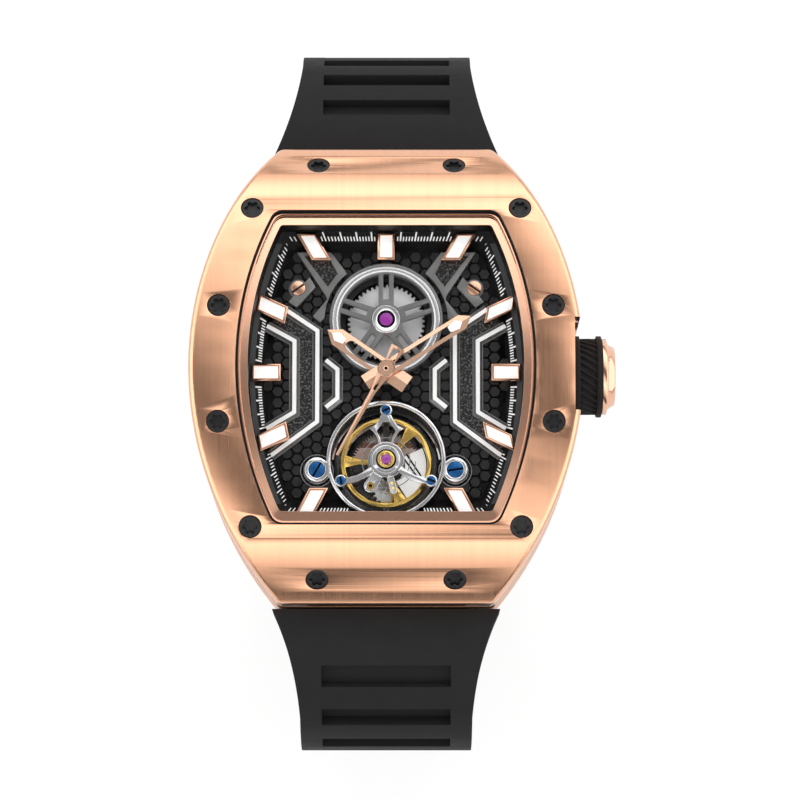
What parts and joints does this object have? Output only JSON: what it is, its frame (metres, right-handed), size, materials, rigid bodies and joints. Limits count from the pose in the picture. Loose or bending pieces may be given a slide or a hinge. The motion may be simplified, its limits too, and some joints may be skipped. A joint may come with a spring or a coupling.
{
  "type": "tonneau wristwatch",
  "caption": "Tonneau wristwatch with a curved rose gold bezel, an open honeycomb dial, a tourbillon at six and a ribbed rubber strap on a folding clasp.",
  "frame": {"origin": "on the hands' axis, in the flat outer face of the clasp, on which the closed strap stands", "axes": "+Z from the clasp up through the dial to the crystal, +Y to 12 o'clock, +X to the crown"},
  "size_m": [0.0464, 0.0796, 0.06],
  "materials": {
    "gold_brushed": "brushed rose gold",
    "gold_polished": "polished rose gold",
    "black_screw": "black coated steel",
    "gasket": "matte",
    "sapphire": "clear, polished",
    "ring_black": "matte black with white marks",
    "lume": "luminous white",
    "dial_black": "black with a honeycomb relief",
    "grey_bracket": "dark grey, bevelled edges",
    "plate_grey": "blackened",
    "steel": "satin steel",
    "polished_steel": "polished steel",
    "brass_wheel": "gilt brass",
    "ruby": "synthetic ruby",
    "blue_steel": "blued steel",
    "spring_steel": "spring steel",
    "rubber": "matte black"
  },
  "bodies": {
    "case": {"bezel": "gold_brushed", "bezel_screws": "black_screw", "bezel_gasket": "gasket", "case_middle": "gold_brushed", "case_back": "gold_brushed", "back_crystal": "sapphire", "back_screws": "black_screw", "front_crystal": "sapphire", "inner_flange": "gold_polished", "chapter_ring": "ring_black", "hour_index_frames": "gold_polished", "hour_index_lume": "lume", "dial_plate": "dial_black", "dial_brackets": "grey_bracket", "upper_frames": "grey_bracket", "dial_screws": "gold_polished", "main_plate": "plate_grey", "train_bridge": "plate_grey", "bridge_screws": "steel", "barrel_bridge": "polished_steel", "barrel_jewel": "ruby", "tourbillon_ring": "polished_steel", "ring_screws": "blue_steel", "fixed_wheel": "brass_wheel", "crown_tube": "steel", "upper_strap": "rubber", "lower_strap": "rubber", "strap_pins": "steel", "clasp_blade": "steel", "clasp_catch": "steel", "clasp_screws": "steel", "clasp_hinge_pin": "steel"},
    "minute_train": {"minute_hand": "gold_polished", "centre_wheel": "brass_wheel"},
    "hour_train": {"hour_hand": "gold_polished", "hour_wheel": "brass_wheel"},
    "barrel": {"barrel": "steel", "mainspring": "spring_steel"},
    "seconds_train": {"seconds_hand": "gold_polished", "seconds_arbor": "brass_wheel"},
    "third_train": {"third_wheel": "brass_wheel"},
    "tourbillon_cage": {"cage_bridge": "polished_steel", "cage_base": "polished_steel", "cage_screws": "blue_steel", "cage_jewel": "ruby", "shock_spring": "brass_wheel", "regulator": "polished_steel", "hairspring": "spring_steel"},
    "balance": {"balance_wheel": "brass_wheel"},
    "escape": {"escape_wheel": "steel"},
    "pallets": {"pallet_fork": "steel"},
    "setting_works": {"setting_lever": "steel"},
    "crown": {"crown_core": "gold_polished", "crown_rubber": "rubber", "crown_stem": "steel"},
    "winding_wheel": {"crown_wheel": "steel"},
    "ratchet": {"barrel_arbor": "steel"},
    "clasp_cover": {"clasp_cover": "gold_brushed"},
    "right_button": {"right_clasp_button": "gold_polished"},
    "left_button": {"left_clasp_button": "gold_polished"}
  },
  "joints": [
    {"name": "minute_turn", "type": "hinge", "parent": "case", "child": "minute_train", "pos_m": [0, 0, 0.051], "axis": [0, 0, 1], "continuous": true},
    {"name": "hour_turn", "type": "hinge", "parent": "case", "child": "hour_train", "pos_m": [0, 0, 0.051], "axis": [0, 0, 1], "continuous": true},
    {"name": "barrel_turn", "type": "hinge", "parent": "case", "child": "barrel", "pos_m": [0, 0.00595, 0.051], "axis": [0, 0, 1], "continuous": true},
    {"name": "seconds_turn", "type": "hinge", "parent": "case", "child": "seconds_train", "pos_m": [0, 0, 0.051], "axis": [0, 0, 1], "continuous": true},
    {"name": "third_turn", "type": "hinge", "parent": "case", "child": "third_train", "pos_m": [0.0063, 0.0004, 0.051], "axis": [0, 0, 1], "continuous": true},
    {"name": "cage_turn", "type": "hinge", "parent": "case", "child": "tourbillon_cage", "pos_m": [0, -0.0096, 0.051], "axis": [0, 0, 1], "continuous": true},
    {"name": "balance_swing", "type": "hinge", "parent": "tourbillon_cage", "child": "balance", "pos_m": [0, -0.0096, 0.051], "axis": [0, 0, 1], "range_deg": [-270, 270], "stiffness_Nm_per_rad": 0.000001},
    {"name": "escape_turn", "type": "hinge", "parent": "tourbillon_cage", "child": "escape", "pos_m": [0, -0.01265, 0.051], "axis": [0, 0, 1], "continuous": true},
    {"name": "pallet_rock", "type": "hinge", "parent": "tourbillon_cage", "child": "pallets", "pos_m": [0, -0.01065, 0.051], "axis": [0, 0, 1], "range_deg": [-5, 5]},
    {"name": "crown_pull", "type": "slide", "parent": "case", "child": "setting_works", "axis": [1, 0, 0], "range_m": [0, 0.0012]},
    {"name": "crown_turn", "type": "hinge", "parent": "setting_works", "child": "crown", "pos_m": [0.0205, 0, 0.0511], "axis": [1, 0, 0], "continuous": true},
    {"name": "winding_wheel_turn", "type": "hinge", "parent": "case", "child": "winding_wheel", "pos_m": [0.005, 0.0034, 0.051], "axis": [0, 0, 1], "continuous": true},
    {"name": "ratchet_turn", "type": "hinge", "parent": "case", "child": "ratchet", "pos_m": [0, 0.00595, 0.051], "axis": [0, 0, 1], "continuous": true},
    {"name": "clasp_fold", "type": "hinge", "parent": "case", "child": "clasp_cover", "pos_m": [0, -0.0149, 0.0013], "axis": [-1, 0, 0], "range_deg": [0, 150]},
    {"name": "right_button_press", "type": "slide", "parent": "clasp_cover", "child": "right_button", "axis": [-1, 0, 0], "range_m": [0, 0.0006], "stiffness_N_per_m": 800},
    {"name": "left_button_press", "type": "slide", "parent": "clasp_cover", "child": "left_button", "axis": [1, 0, 0], "range_m": [0, 0.0006], "stiffness_N_per_m": 800}
  ],
  "couplings": [
    {"joint": "hour_turn", "follows": "minute_turn", "ratio": 0.083333},
    {"joint": "barrel_turn", "follows": "minute_turn", "ratio": -0.30435},
    {"joint": "third_turn", "follows": "seconds_turn", "ratio": -0.125},
    {"joint": "cage_turn", "follows": "seconds_turn", "ratio": 1},
    {"joint": "escape_turn", "follows": "seconds_turn", "ratio": -9},
    {"joint": "winding_wheel_turn", "follows": "crown_turn", "ratio": 0.6},
    {"joint": "ratchet_turn", "follows": "crown_turn", "ratio": -0.33333}
  ]
}
